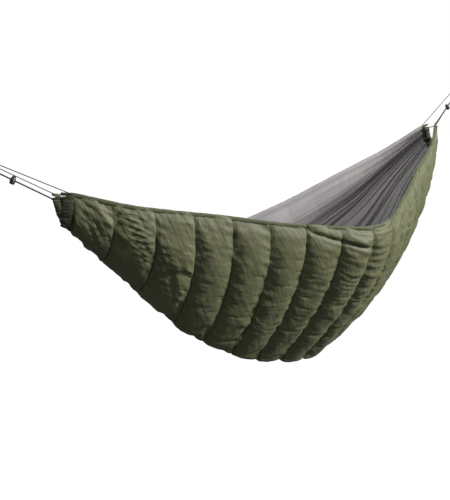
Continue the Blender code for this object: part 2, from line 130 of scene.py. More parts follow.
# The crease below the near rim, and the roll of cloth between them
CREASE_SEAMS = (6, 8)
CREASE_TOP, CREASE_FALL, CREASE_BEND = 0.020, 0.062, 0.8
CREASE_DEPTH, CREASE_WIDTH = 0.0095, 0.0065
ROLL_HEIGHT, ROLL_WIDTH, ROLL_OFFSET = 0.006, 0.016, 0.022
CREASE_START, CREASE_STOP = (-0.01, 0.03), (-0.02, 0.02)  # it fades in and out over these

# Folds of the lining, fanning out from the ends. Each size: folds across a half, and along X.
FOLD_SIZE, CREASE_SIZE, THIN_SIZE = (5.0, 0.7), (11.5, 0.84), (27.5, 1.12)
LINING_LIFT, FOLD_HEIGHT, CREASE_CUT = 0.030, 0.040, 0.015
CREASE_SHARPNESS, THIN_SHARPNESS, THIN_SHARE = 0.13, 0.20, 0.5
FULL_FOLD_WIDTH = 0.35
LEAST_FOLD, FOLD_REACH = 0.4, 0.6
LINING_RIM_FADE = 0.08
FACING = ((0.96, 1.0, 1.012, 1.016), (0.0, 0.0055, 0.0055, 0.0035))  # room behind it along the rim

# Fill pads, between the two cloths
PAD_INSET = 8  # columns left free along each rim
PAD_TOP, PAD_BOTTOM = 0.80, 0.22  # shares of the way from the lining to the shell

# Bindings and end tunnels: half thickness and half height of their oval sections
SIDE_TUBE = (0.0042, 0.0080)
SIDE_POINTS, SIDE_AROUND = 440, 18
RUFFLES, WANDERS = (55.0, 1.6), (9.0, 0.0)  # how many along a metre, and round the tube
RUFFLE_THICK, RUFFLE_TALL, WANDER_TALL = 0.28, 0.10, 0.06
RIM_RISE = 0.0085
BINDING_RUN_ON = 0.038  # past the sewn channels, over the end tunnels
BINDING_SINK, BINDING_TAPER = 0.55, 0.45  # over that stretch it sinks and narrows by these shares
END_TUBE = (0.0050, 0.0225)
END_POINTS, END_AROUND = 260, 32
PLEATS, BULGES = (120.0, 1.2), (35.0, 2.0)
PLEAT_THICK, BULGE_THICK, PLEAT_TALL, BULGE_TALL = 0.55, 0.25, 0.10, 0.05
END_TUBE_S = 0.995
END_SWELL, SWELL_POWER = 0.75, 6  # the tunnel thickens towards the rims

# Stitches
STITCH_PITCH, STITCH_LENGTH, STITCH_RADIUS = 0.0052, 0.0036, 0.00035
STITCH_MARGIN = 0.012
STITCH_LIFT = 0.8  # off the cloth, in radii

# Looks. Wrinkles in a cloth's bump: their angle to X, and how many a metre along and across.
SLANTED_BUMPS = (-1.0, 16.0, 70.0)
LEVEL_BUMPS = (0.0, 3.0, 60.0)
PLEAT_BUMPS = (1.57, 12.0, 160.0)
WEAVE_SCALE, RIPSTOP_SCALE, RIPSTOP_SHARPNESS = 420.0, 32.0, 24.0
SEAM_SHADE, SEAM_SHADE_SPAN = 0.45, (0.0008, 0.0045)  # lowest share of the colour left by the painted shade along the seams, and its reach
BRAID_TURN = 0.7
EDGE_POINTINESS = (0.52, 0.6)  # an edge sharper than this looks worn
ROUND_ANGLE = math.radians(50)  # edges flatter than this are shaded as round

# Camera and floor
CAMERA_PLACE = Vector((-2.628, -2.501, RIM_HEIGHT + 0.127))
CAMERA_YAW = 0.735
CAMERA_PITCH = -0.131
CAMERA_ROLL = -0.151
CAMERA_LENS = 66.0  # in mm
SENSOR_WIDTH = 36.0  # in mm
FLOOR_Z = -0.6
FLOOR_SIZE = 60.0
LIGHT_AIM = Vector((0.0, 0.0, 0.45))


# Numbers and noise


SEED_SHIFT = (7.31, 3.17, 5.03)  # one step of the seed moves the noise by this


def noise_on(seed, first, first_scale, second=0.0, second_scale=1.0):
    """Smooth noise from -1 to 1 over one or two arrays, with its features 1 / scale apart."""
    first, second = np.broadcast_arrays(first, second)
    flat = np.stack([first.ravel() * first_scale, second.ravel() * second_scale, 0 * first.ravel()], 1)
    shift = Vector([seed * step for step in SEED_SHIFT])
    return np.array([noise.noise(Vector(p) + shift) for p in flat]).reshape(first.shape)


def ridges(seed, first, second, angle, size):
    """Long soft wrinkles from 0 to 1, at this angle to the first axis. Size is length and width."""
    along = first * math.cos(angle) + second * math.sin(angle)
    across = second * math.cos(angle) - first * math.sin(angle)
    value = noise_on(seed, along, 1 / size[0], across, 1 / size[1])
    return np.clip(1.0 - np.abs(value) * RIDGE_SHARPNESS, 0.0, 1.0) ** RIDGE_POWER


def smooth_step(value, low, high):
    t = np.clip((value - low) / (high - low), 0.0, 1.0)
    return t * t * (3 - 2 * t)


def run_along(points):
    """Length of a path up to each of its points."""
    return np.concatenate([[0.0], np.cumsum(np.linalg.norm(np.diff(points, axis=0), axis=1))])


def at_run(place, run, values):
    """The value at a place along a path, from the rows of values at its points."""
    return np.array([np.interp(place, run, column) for column in values.T])


# The hung surface


def at_station(x, values):
    """Smooth value at each x from the five station values, level in the middle."""
    u = np.clip(1.0 - np.abs(x) / HALF_LENGTH, 0.0, 1.0)
    t0 = np.array(STATIONS)
    v = np.array(values)
    slopes = np.diff(v) / np.diff(t0)
    inner = 2 * slopes[:-1] * slopes[1:] / (slopes[:-1] + slopes[1:])
    tangents = np.concatenate([[slopes[0]], inner, [0.0]])
    k = np.clip(np.searchsorted(t0, u, side="right") - 1, 0, len(t0) - 2)
    span = np.diff(t0)[k]
    t = (u - t0[k]) / span
    start = v[k] * (1 + 2 * t) * (1 - t) ** 2 + tangents[k] * span * t * (1 - t) ** 2
    end = v[k + 1] * t * t * (3 - 2 * t) - tangents[k + 1] * span * t * t * (1 - t)
    return start + end


def surface(x, s):
    """Points of the sewn surface: s is -1 on the near rim, 0 on the keel, 1 on the far rim.

    Past the rims the cloth stands straight up, and s then runs in metres.
    """
    x, s = np.broadcast_arrays(np.asarray(x, float), np.asarray(s, float))
    middle = (1.0 - np.minimum(np.abs(x) / HALF_LENGTH, 1.0) ** 2) ** 1.5
    power_in = MIDDLE_SECTION[0] * middle + END_SECTION[0] * (1 - middle)
    power_out = MIDDLE_SECTION[1] * middle + END_SECTION[1] * (1 - middle)
    low = np.cos(np.pi / 2 * np.minimum(np.abs(s), 1.0) ** EVEN_OUT)
    pinch = 1 - PINCH * np.exp(-(((HALF_LENGTH - np.abs(x)) / PINCH_REACH) ** 2))
    across = at_station(x, HALF_WIDTH) * pinch * np.maximum(1.0 - low**power_in, 0.0) ** power_out
    height = RIM_HEIGHT - at_station(x, RIM_DROP) - at_station(x, DEPTH) * low
    height = height + np.maximum(np.abs(s) - 1.0, 0.0)
    return np.stack([x, np.copysign(across, s), height], axis=-1)


def normals_of(points):
    """Unit outward normals of a grid of points, rows along X and columns near to far."""
    along = np.gradient(points, axis=0)
    around = np.gradient(points, axis=1)
    normal = np.cross(around, along)
    return normal / np.maximum(np.linalg.norm(normal, axis=-1, keepdims=True), 1e-12)


def seam_places():
    """x of both channel edges at the ends, with all seams between them."""
    first_edge = -HALF_LENGTH + CHANNEL_ENDS
    seams = [FIRST_SEAM + SEAM_PITCH * i for i in range(SEAM_COUNT)]
    return np.array([first_edge] + seams + [-first_edge])


def even_columns():
    """Values of s that stand evenly along the middle section's girth."""
    s = np.linspace(-1.0, 1.0, 2001)
    length = run_along(surface(np.zeros_like(s), s))
    even = np.interp(np.linspace(0.0, length[-1], COLUMNS + 1), length, s)
    tucked = 1.0 + np.array(RIM_TUCKS)
    return np.concatenate([-tucked[::-1], even, tucked])


def row_places():
    """x of every row, its share of its channel, and its channel's number."""
    seams = seam_places()
    even = np.arange(1, ROWS_A_CHANNEL + 1) / ROWS_A_CHANNEL
    shares = (1 - ROW_CROWDING) * even + ROW_CROWDING * (1 - np.cos(np.pi * even)) / 2
    seams[0] -= EDGE_TUCK
    seams[-1] += EDGE_TUCK
    xs, share, channel = [seams[0]], [0.0], [0]
    for number, (start, end) in enumerate(zip(seams, seams[1:])):
        xs.extend(start + (end - start) * shares)
        share.extend(shares)
        channel.extend([number] * ROWS_A_CHANNEL)
    return np.array(xs), np.array(share), np.array(channel)


class Grid:
    """The grid that the outer shell, the lining and the batting all share."""

    def __init__(self):
        self.x, self.share, self.channel = row_places()
        self.s = even_columns()
        self.rows, self.columns = len(self.x), len(self.s)
        self.base = surface(self.x[:, None], self.s[None, :])
        self.normal = normals_of(self.base)
        step = np.linalg.norm(np.diff(self.base, axis=1), axis=-1)
        keel = self.columns // 2
        self.v = np.concatenate([np.zeros((self.rows, 1)), np.cumsum(step, axis=1)], axis=1)
        self.v -= self.v[:, keel : keel + 1]  # along the section from the keel
        self.from_rim = self.v[:, -1:] - np.abs(self.v)
        self.u = np.broadcast_to(self.x[:, None], self.v.shape)
        seams = seam_places()
        nearest = np.abs(self.x[:, None] - seams[None, :])
        self.seam = np.argmin(nearest, axis=1)
        self.from_seam = np.min(nearest, axis=1)
        self.seam_side = np.sign(self.x - seams[self.seam])

    def loft(self):
        """Share of the full loft at each grid point: 0 on a seam and at the rim."""
        puff = (1.0 - np.abs(2 * self.share - 1) ** PUFF_POWERS[0]) ** PUFF_POWERS[1]
        width = np.clip(at_station(self.x, HALF_WIDTH) / FULL_LOFT_WIDTH, LEAST_LOFT, 1.0)
        edge = np.clip((1.0 - np.abs(self.s)) / RIM_FADE, 0.0, 1.0) ** RIM_FADE_POWER
        keel = 1.0 - KEEL_LOSS * np.exp(-((self.s / KEEL_REACH) ** 2))
        return (puff * width)[:, None] * (edge * keel)[None, :]


# Meshes


def add_object(name, data):
    made = bpy.data.objects.new(name, data)
    bpy.context.scene.collection.objects.link(made)
    return made


def add_mesh(name, points, faces, uv=None):
    """A mesh object. Where each point's place on the cloth is given, it has a UV map in metres."""
    mesh = bpy.data.meshes.new(name)
    mesh.from_pydata(np.reshape(points, (-1, 3)).tolist(), [], faces)
    if uv is not None:
        layer = mesh.uv_layers.new(name="cloth")
        loops = np.zeros(len(mesh.loops), int)
        mesh.loops.foreach_get("vertex_index", loops)
        layer.data.foreach_set("uv", uv[loops].astype(np.float32).ravel())
    return add_object(name, mesh)


def quads_between(index):
    """The faces between the rows and columns of an array of point numbers."""
    corners = [index[:-1, :-1], index[:-1, 1:], index[1:, 1:], index[1:, :-1]]
    return np.stack(corners, -1).reshape(-1, 4)


def mesh_from_grid(name, points, grid):
    """A cloth over the grid. Its UV runs along X, and round the section from the keel."""
    index = np.arange(grid.rows * grid.columns).reshape(grid.rows, grid.columns)
    uv = np.stack([grid.u.ravel(), grid.v.ravel()], 1)
    obj = add_mesh(name, points, quads_between(index).tolist(), uv)
    obj.data.shade_smooth()
    return obj


def vertices_of(obj):
    flat = np.zeros(len(obj.data.vertices) * 3, np.float32)
    obj.data.vertices.foreach_get("co", flat)
    return flat.reshape(-1, 3).astype(float)


def set_vertices(obj, points):
    obj.data.vertices.foreach_set("co", points.reshape(-1, 3).astype(np.float32).ravel())
    obj.data.update()


def add_cloth(obj, group):
    """The Cloth modifier, blown up by pressure and held where the group says."""
    cloth = obj.modifiers.new("cloth", "CLOTH")
    settings = cloth.settings
    settings.quality = 5
    settings.mass = 0.1
    settings.air_damping = 2.0
    settings.tension_stiffness = 12.0
    settings.compression_stiffness = 12.0
    settings.shear_stiffness = 4.0
    settings.bending_stiffness = 0.05
    settings.vertex_group_mass = group.name
    settings.pin_stiffness = 1.0
    settings.shrink_min = -SLACK
    settings.use_pressure = True
    settings.uniform_pressure_force = PRESSURE
    settings.effector_weights.gravity = 0.0
    cloth.point_cache.frame_start = 1
    cloth.point_cache.frame_end = SIM_FRAMES
    return cloth


def inflate(obj, grid):
    """Blow the channels out against their seams with Cloth, and apply it. Seams and edges are pinned."""
    before = vertices_of(obj)
    pinned = np.zeros((grid.rows, grid.columns), bool)
    pinned[grid.from_seam < ON_SEAM, :] = True
    pinned[:, np.abs(grid.s) >= PINNED_RIM] = True
    group = obj.vertex_groups.new(name="sewn")
    group.add([int(i) for i in np.where(pinned.ravel())[0]], 1.0, "REPLACE")
    cloth = add_cloth(obj, group)
    scene = bpy.context.scene
    for number in range(1, SIM_FRAMES + 1):
        scene.frame_set(number)
    evaluated = obj.evaluated_get(bpy.context.evaluated_depsgraph_get())
    after = np.zeros(len(before) * 3, np.float32)
    evaluated.data.vertices.foreach_get("co", after)
    obj.modifiers.remove(cloth)
    obj.vertex_groups.remove(group)
    move = after.reshape(-1, 3) - before
    size = np.linalg.norm(move, axis=1, keepdims=True)
    move *= np.minimum(1.0, MOST_MOVE / np.maximum(size, 1e-9))
    move *= RIM_CALM + (1 - RIM_CALM) * smooth_step(grid.from_rim.reshape(-1, 1), 0.0, CALM_REACH)
    set_vertices(obj, before + move)
    scene.frame_set(1)


def give_thickness(obj):
    solid = obj.modifiers.new("thickness", "SOLIDIFY")
    solid.thickness = CLOTH
    solid.offset = 0.0
    solid.use_even_offset = False


def smooth_rounds(mesh):
    mesh.shade_smooth()
    mesh.set_sharp_from_angle(angle=ROUND_ANGLE)


def path_frames(centres, hint):
    """The two section directions of a path: across it, and up, which is the nearest to the hint."""
    along = np.gradient(centres, axis=0)
    along /= np.linalg.norm(along, axis=1, keepdims=True)
    up = hint - along * np.sum(hint * along, axis=1, keepdims=True)
    up /= np.maximum(np.linalg.norm(up, axis=1, keepdims=True), 1e-9)
    return np.cross(along, up), up


def sweep(name, centres, hint, radius_across, radius_up):
    """A closed tube along a path. Its radii are arrays of shape (points, around)."""
    across, up = path_frames(centres, hint)
    count, around = radius_up.shape
    turn = 2 * np.pi * np.arange(around) / around
    offset = across[:, None, :] * (radius_across * np.cos(turn))[..., None]
    offset = offset + up[:, None, :] * (radius_up * np.sin(turn))[..., None]
    index = np.arange(count * around).reshape(count, around)
    wrapped = np.concatenate([index, index[:, :1]], axis=1)
    faces = quads_between(wrapped)[:, ::-1].tolist()
    faces.append(index[0].tolist())
    faces.append(index[-1, ::-1].tolist())
    girth = float(np.mean(radius_up)) * 2 * math.pi
    along_tube = np.repeat(run_along(centres), around)
    round_tube = np.tile(girth * np.arange(around) / around, count)
    uv = np.stack([along_tube, round_tube], 1)
    obj = add_mesh(name, centres[:, None, :] + offset, faces, uv)
    obj.data.shade_smooth()
    return obj


# Materials


def new_material(name, colour, roughness, metallic=0.0):
    made = bpy.data.materials.new(name)
    made.use_nodes = True
    shader = made.node_tree.nodes["Principled BSDF"]
    shader.inputs["Base Color"].default_value = (*colour, 1.0)
    shader.inputs["Roughness"].default_value = roughness
    shader.inputs["Metallic"].default_value = metallic
    return made, made.node_tree, shader


def node(tree, kind, **values):
    made = tree.nodes.new(kind)
    for name, value in values.items():
        if name in made.inputs:
            made.inputs[name].default_value = value
        else:
            setattr(made, name, value)
    return made


def texture(tree, kind, vector, **values):
    """A texture's or a mapping's first output, over this vector."""
    made = node(tree, kind, **values)
    tree.links.new(vector, made.inputs["Vector"])
    return made.outputs["Fac"] if "Fac" in made.outputs else made.outputs["Vector"]


def calculated(tree, operation, first, second):
    """The output of a Math node. The second value is a socket or a number."""
    made = node(tree, "ShaderNodeMath", operation=operation)
    tree.links.new(first, made.inputs[0])
    if isinstance(second, bpy.types.NodeSocket):
        tree.links.new(second, made.inputs[1])
    else:
        made.inputs[1].default_value = second
    return made.outputs[0]


def ranged(tree, value, to_low=0.0, to_high=1.0, low=0.0, high=1.0):
    """A value mapped from low and high to to_low and to_high."""
    made = node(tree, "ShaderNodeMapRange")
    made.inputs["From Min"].default_value = low
    made.inputs["From Max"].default_value = high
    made.inputs["To Min"].default_value = to_low
    made.inputs["To Max"].default_value = to_high
    tree.links.new(value, made.inputs["Value"])
    return made.outputs["Result"]


def bumped(tree, height, strength, distance, below=None):
    """The normal of a Bump node, over the normal below it."""
    made = node(tree, "ShaderNodeBump", Strength=strength, Distance=distance)
    tree.links.new(height, made.inputs["Height"])
    if below is not None:
        tree.links.new(below, made.inputs["Normal"])
    return made.outputs["Normal"]


def mixed_colour(tree, factor, first, second):
    mix = node(tree, "ShaderNodeMix", data_type="RGBA")
    tree.links.new(factor, mix.inputs["Factor"])
    mix.inputs["A"].default_value = (*first, 1.0)
    mix.inputs["B"].default_value = (*second, 1.0)
    return mix.outputs["Result"]


def weave(tree, uv, ripstop):
    """Height of the threads, and of the ripstop grid where the cloth has one."""
    total = None
    for direction in ("X", "Y"):
        fine = {"Scale": WEAVE_SCALE, "Distortion": 0.0, "bands_direction": direction}
        threads = [texture(tree, "ShaderNodeTexWave", uv, **fine)]
        if ripstop:
            coarse = texture(tree, "ShaderNodeTexWave", uv, **{**fine, "Scale": RIPSTOP_SCALE})
            threads.append(calculated(tree, "POWER", coarse, RIPSTOP_SHARPNESS))
        for thread in threads:
            total = thread if total is None else calculated(tree, "ADD", total, thread)
    return total


def seam_shade(tree, uv, colour):
    """Darken the cloth along each seam: painted shade of the seam groove, with the thread sunk into it."""
    parts = node(tree, "ShaderNodeSeparateXYZ")
    tree.links.new(uv, parts.inputs[0])
    shifted = calculated(tree, "SUBTRACT", parts.outputs["X"], FIRST_SEAM)
    distance = calculated(tree, "PINGPONG", shifted, SEAM_PITCH / 2)
    shade = ranged(tree, distance, SEAM_SHADE, 1.0, *SEAM_SHADE_SPAN)
    mix = node(tree, "ShaderNodeMix", data_type="RGBA", blend_type="MULTIPLY")
    mix.inputs["Factor"].default_value = 1.0
    tree.links.new(colour, mix.inputs["A"])
    tree.links.new(shade, mix.inputs["B"])
    return mix.outputs["Result"]


def cloth_material(name, colour, worn, roughness, sheen, wrinkles, ripstop=False):
    """Woven nylon: weave, crumple and long wrinkles in the bump, soft sheen, uneven dye.

    Wrinkles is one of the tuples of bumps above. With ripstop the colour is also darkened along the seams,
    as painted shade of the seam grooves with the sunk thread.
    """
    made, tree, shader = new_material(name, colour, roughness)
    links = tree.links
    place = node(tree, "ShaderNodeTexCoord").outputs["Object"]
    uv = node(tree, "ShaderNodeUVMap", uv_map="cloth").outputs["UV"]

    cloudy = texture(tree, "ShaderNodeTexNoise", place, Scale=5.0, Detail=4.0, Roughness=0.6)
    cloth_colour = mixed_colour(tree, cloudy, colour, worn)
    # Painted shade: the shell is darkened along its seams, where the grooves lie in shade; the sunk thread
    # adds a little to it.
    if ripstop:
        cloth_colour = seam_shade(tree, uv, cloth_colour)
    links.new(cloth_colour, shader.inputs["Base Color"])

    crumple = texture(tree, "ShaderNodeTexNoise", place, Scale=60.0, Detail=5.0, Roughness=0.65)
    angle, along, across = wrinkles
    turned = texture(tree, "ShaderNodeMapping", uv, Rotation=(0.0, 0.0, angle))
    stretched = texture(tree, "ShaderNodeMapping", turned, Scale=(along, across, 1.0))
    lines = texture(tree, "ShaderNodeTexNoise", stretched, Scale=1.0, Detail=3.0, Roughness=0.5)
    patchy = calculated(tree, "MULTIPLY", lines, cloudy)
    normal = bumped(tree, weave(tree, uv, ripstop), strength=0.25, distance=0.0002)
    normal = bumped(tree, crumple, strength=0.35, distance=0.004, below=normal)
    normal = bumped(tree, patchy, strength=0.5, distance=0.010, below=normal)
    links.new(normal, shader.inputs["Normal"])

    gloss = ranged(tree, crumple, roughness - 0.08, roughness + 0.1)
    links.new(gloss, shader.inputs["Roughness"])
    shader.inputs["Sheen Weight"].default_value = sheen
    shader.inputs["Sheen Roughness"].default_value = 0.45
    shader.inputs["Sheen Tint"].default_value = (*[min(1.0, 3 * c) for c in worn], 1.0)
    shader.inputs["Specular IOR Level"].default_value = 0.28
    return made


def cord_material(name, colour, fleck, scale):
    """Braided cord: crossed diagonal bands in colour and bump."""
    made, tree, shader = new_material(name, colour, 0.75)
    place = node(tree, "ShaderNodeTexCoord").outputs["Object"]
    bands = []
    for turn in (BRAID_TURN, -BRAID_TURN):
        turned = texture(tree, "ShaderNodeMapping", place, Rotation=(turn, turn, 0.0))
        bands.append(texture(tree, "ShaderNodeTexWave", turned, Scale=scale, Distortion=0.0))
    braid = calculated(tree, "MULTIPLY", bands[0], bands[1])
    tree.links.new(mixed_colour(tree, braid, colour, fleck), shader.inputs["Base Color"])
    tree.links.new(bumped(tree, braid, strength=0.4, distance=0.0003), shader.inputs["Normal"])
    shader.inputs["Specular IOR Level"].default_value = 0.2
    return made


def hard_material(name, colour, edge, roughness, metallic, grain, depth):
    """Moulded plastic or metal: fine grain in the bump, uneven gloss, edges worn lighter."""
    made, tree, shader = new_material(name, colour, roughness, metallic)
    place = node(tree, "ShaderNodeTexCoord").outputs["Object"]
    speckle = texture(tree, "ShaderNodeTexNoise", place, Scale=grain, Detail=3.0)
    tree.links.new(bumped(tree, speckle, strength=0.4, distance=depth), shader.inputs["Normal"])
    pointiness = node(tree, "ShaderNodeNewGeometry").outputs["Pointiness"]
    worn = ranged(tree, pointiness, 0.0, 1.0, *EDGE_POINTINESS)
    tree.links.new(mixed_colour(tree, worn, colour, edge), shader.inputs["Base Color"])
    gloss = ranged(tree, speckle, roughness - 0.1, roughness + 0.12)
    tree.links.new(gloss, shader.inputs["Roughness"])
    return made


def batting_material():
    """White fibre batting, matt and cloudy."""
    made, tree, shader = new_material("batting", (0.8, 0.8, 0.77), 0.95)
    place = node(tree, "ShaderNodeTexCoord").outputs["Object"]
    fibres = texture(tree, "ShaderNodeTexNoise", place, Scale=180.0, Detail=6.0, Roughness=0.7)
    colour = mixed_colour(tree, fibres, (0.7, 0.7, 0.67), (0.88, 0.88, 0.85))
    tree.links.new(colour, shader.inputs["Base Color"])
    tree.links.new(bumped(tree, fibres, strength=0.8, distance=0.003), shader.inputs["Normal"])
    return made


# Soft pieces


def settle(obj, material, nodes, body="quilt"):
    """Give a new piece its material, the CAD nodes it stands for and its body."""
    obj.data.materials.append(material)
    if nodes:
        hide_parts(*nodes)
    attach(obj, body)


def puckers(grid, seed):
    """Short gathers across each seam: the thread draws the cloth together along it."""
    result = np.zeros((grid.rows, grid.columns))
    mean, varied, variations = GATHER_STRENGTH
    for seam in range(1, SEAM_COUNT + 1):
        for side in (-1, 1):
            rows = np.where((grid.seam == seam) & (grid.seam_side == side))[0]
            distance = grid.from_seam[rows][:, None]
            v = grid.v[rows]
            slant = side * GATHER_LEAN + GATHER_SWAY * noise_on(seed + seam, v, SWAYS_A_METRE)
            line = v + slant * distance
            strength = mean + varied * noise_on(seed + 11 * seam + side, line, variations)
            strength = np.clip(strength, *STRENGTH_LIMITS)
            for reach, share, a_metre, seam_seed in GATHER_SIZES:
                gathers = noise_on(seed + seam_seed * seam + side, line, a_metre)
                near = distance / reach
                result[rows] += share * gathers * strength * near * np.exp(1 - near)
    return result * GATHER_HEIGHT


def end_gathers(grid, seed):
    """Folds that run out of the two gathered ends and die away along the quilt."""
    to_end = HALF_LENGTH - CHANNEL_ENDS - np.abs(grid.u)
    slanted = END_FOLDS * np.abs(grid.s)[None, :] + END_FOLD_SLANT * to_end
    result = np.zeros(to_end.shape)
    for number, (height, reach, fineness) in enumerate(END_FOLD_SIZES):
        folds = noise_on(seed + number, slanted, fineness, grid.u, END_FOLD_WANDER)
        result += height * np.exp(-to_end / reach) * folds
    return result * smooth_step(to_end, *END_FOLD_START)


def rim_fold(grid):
    """The deep crease that runs a hand below the near rim, over two channels left of the middle."""
    start, end = seam_places()[list(CREASE_SEAMS)]
    share = np.clip((grid.u - start) / (end - start), 0.0, 1.0)
    across = grid.from_rim - CREASE_TOP - CREASE_FALL * share**CREASE_BEND
    crease = -CREASE_DEPTH * np.exp(-((across / CREASE_WIDTH) ** 2))
    roll = ROLL_HEIGHT * np.exp(-(((across + ROLL_OFFSET) / ROLL_WIDTH) ** 2))
    begun = smooth_step(grid.u, start + CREASE_START[0], start + CREASE_START[1])
    ended = smooth_step(grid.u, end + CREASE_STOP[0], end + CREASE_STOP[1])
    return (crease + roll) * begun * (1 - ended) * (grid.v < 0)


def shell_detail(grid):
    """Wrinkles of the outer shell, as heights along its normal."""
    u, v = grid.u, grid.v
    billow = BILLOW_HEIGHT * noise_on(1, u, BILLOWS_A_METRE, v, BILLOWS_A_METRE)
    slanted = SLANTED_HEIGHT * ridges(2, u, v, SLANTED_ANGLE, SLANTED_SIZE)
    patches = smooth_step(noise_on(3, u, PATCHES_A_METRE, v, PATCHES_A_METRE), *PATCH_SPAN)
    left = LEFT_MOST - smooth_step(u, *LEFT_SPAN)
    level = LEVEL_HEIGHT * ridges(4, u, v, 0.0, LEVEL_SIZE)
    middle = smooth_step(u, *MIDDLE_RISE) * (1 - smooth_step(u, *MIDDLE_FALL))
    upper = 1 - smooth_step(grid.from_rim, *UPPER_SPAN)
    free = np.minimum(grid.from_seam / SEAM_HOLD, 1.0)[:, None] * np.minimum(grid.from_rim / RIM_HOLD, 1.0)
    return (billow + slanted * patches * left + level * middle * upper) * free


def outer_shell(grid, material):
    """The outer cloth: a simulated puff, and wrinkles that are added to its mesh."""
    loft = grid.loft()
    start = grid.base + grid.normal * (SEAM_GAP + OUTER_LOFT * START_LOFT * loft)[..., None]
    obj = mesh_from_grid("outer_shell_cloth", start, grid)
    inflate(obj, grid)
    points = vertices_of(obj).reshape(grid.rows, grid.columns, 3)
    height = shell_detail(grid) + puckers(grid, 20) + end_gathers(grid, 5) + rim_fold(grid)
    points = points + grid.normal * height[..., None]
    outside = np.sum((points - grid.base) * grid.normal, axis=-1)
    lacking = np.maximum(LEAST_CLEARANCE - outside, 0.0)
    points = points + grid.normal * lacking[..., None]
    set_vertices(obj, points)
    give_thickness(obj)
    settle(obj, material, ["outer_shell"])
    return points


def lining_folds(grid):
    """Long folds of the lining that run to the gathered ends, as heights into the quilt."""
    folds, creases, thin = [
        noise_on(seed, grid.s[None, :], across, grid.u, along)
        for seed, (across, along) in ((31, FOLD_SIZE), (32, CREASE_SIZE), (33, THIN_SIZE))
    ]
    lines = np.exp(-((creases / CREASE_SHARPNESS) ** 2))
    lines = lines + THIN_SHARE * np.exp(-((thin / THIN_SHARPNESS) ** 2))
    depth = np.minimum(at_station(grid.x, HALF_WIDTH)[:, None] / FULL_FOLD_WIDTH, 1.0)
    to_end = HALF_LENGTH - np.abs(grid.u)
    gathered = LEAST_FOLD + (1 - LEAST_FOLD) * np.exp(-to_end / FOLD_REACH)
    return (LINING_LIFT + FOLD_HEIGHT * folds - CREASE_CUT * lines) * depth * gathered


def inner_lining(grid, material):
    """The lining: shallow channels under long folds.

    Along the rims it stands up as the inner face of the side binding.
    """
    inside = np.clip((1.0 - np.abs(grid.s)) / LINING_RIM_FADE, 0.0, 1.0)[None, :]
    room = SEAM_GAP + LINING_LOFT * grid.loft() + np.maximum(lining_folds(grid), 0.0) * inside
    facing = np.interp(np.abs(grid.s), *FACING)
    room = np.maximum(room, facing[None, :])
    points = grid.base - grid.normal * room[..., None]
    obj = mesh_from_grid("inner_lining_cloth", points, grid)
    give_thickness(obj)
    settle(obj, material, ["inner_lining"])
    return points


def batting(grid, shell, lining, material):
    """The fill of each channel: a soft pad between the two cloths."""
    for number in range(SEAM_COUNT + 1):
        rows = np.where(grid.channel == number)[0][1:-2]  # clear of both seams
        outer = shell[rows][:, PAD_INSET:-PAD_INSET]
        inner = lining[rows][:, PAD_INSET:-PAD_INSET]
        top = inner + (outer - inner) * PAD_TOP
        bottom = inner + (outer - inner) * PAD_BOTTOM
        count, columns = top.shape[:2]
        index = np.arange(count * columns).reshape(count, columns)
        quads = quads_between(index)
        rim = np.concatenate([index[0, :], index[1:, -1], index[-1, -2::-1], index[-2:0:-1, 0]])
        after = np.roll(rim, -1)
        shift = count * columns
        sides = np.stack([after, rim, rim + shift, after + shift], -1)
        faces = quads.tolist() + (quads[:, ::-1] + shift).tolist() + sides.tolist()
        obj = add_mesh(f"batting_{number + 1:02d}", np.concatenate([top, bottom]), faces)
        obj.data.shade_smooth()
        settle(obj, material, [f"fill_{number + 1:02d}"])


def side_binding(label, side, material):
    """The tape tunnel along one rim, slightly gathered on its elastic."""
    edge = seam_places()[-1]
    x = np.linspace(-edge - BINDING_RUN_ON, edge + BINDING_RUN_ON, SIDE_POINTS)
    past = np.clip((np.abs(x) - edge) / BINDING_RUN_ON, 0.0, 1.0)
    centres = surface(x, np.full_like(x, side))
    centres[:, 2] += RIM_RISE * (1 - BINDING_SINK * past)
    turn = np.arange(SIDE_AROUND) / SIDE_AROUND
    ruffle = noise_on(41, x[:, None], RUFFLES[0], turn[None, :], RUFFLES[1])
    wander = noise_on(42, x[:, None], WANDERS[0], turn[None, :], WANDERS[1])
    thick = SIDE_TUBE[0] * (1 + RUFFLE_THICK * ruffle)
    tall = SIDE_TUBE[1] * (1 + RUFFLE_TALL * ruffle + WANDER_TALL * wander)
    tall = tall * (1 - BINDING_TAPER * past[:, None])
    upright = np.array([[0.0, 0.0, 1.0]])
    obj = sweep(f"side_binding_{label}", centres, upright, thick, tall)
    settle(obj, material, [f"side_channel_{label}"])


def end_tunnel(label, end, material):
    """The gathered drawcord tunnel at one end: pleats across it, all the way round."""
    s = np.linspace(-END_TUBE_S, END_TUBE_S, END_POINTS)
    x = end * (HALF_LENGTH - CHANNEL_ENDS / 2)
    before, centres, after = [surface(x + step, s) for step in (-CHANNEL_ENDS / 2, 0.0, CHANNEL_ENDS / 2)]
    length = run_along(centres)[:, None]
    turn = np.arange(END_AROUND)[None, :] / END_AROUND
    pleat = noise_on(51, length, PLEATS[0], turn, PLEATS[1])
    bulge = noise_on(52, length, BULGES[0], turn, BULGES[1])
    swell = END_SWELL * np.abs(s[:, None]) ** SWELL_POWER
    thick = END_TUBE[0] * (1 + PLEAT_THICK * pleat + BULGE_THICK * bulge + swell)
    tall = END_TUBE[1] * (1 + PLEAT_TALL * pleat + BULGE_TALL * bulge)
    obj = sweep(f"end_tunnel_{label}", centres, after - before, thick, tall)
    settle(obj, material, [f"end_channel_{label}"])


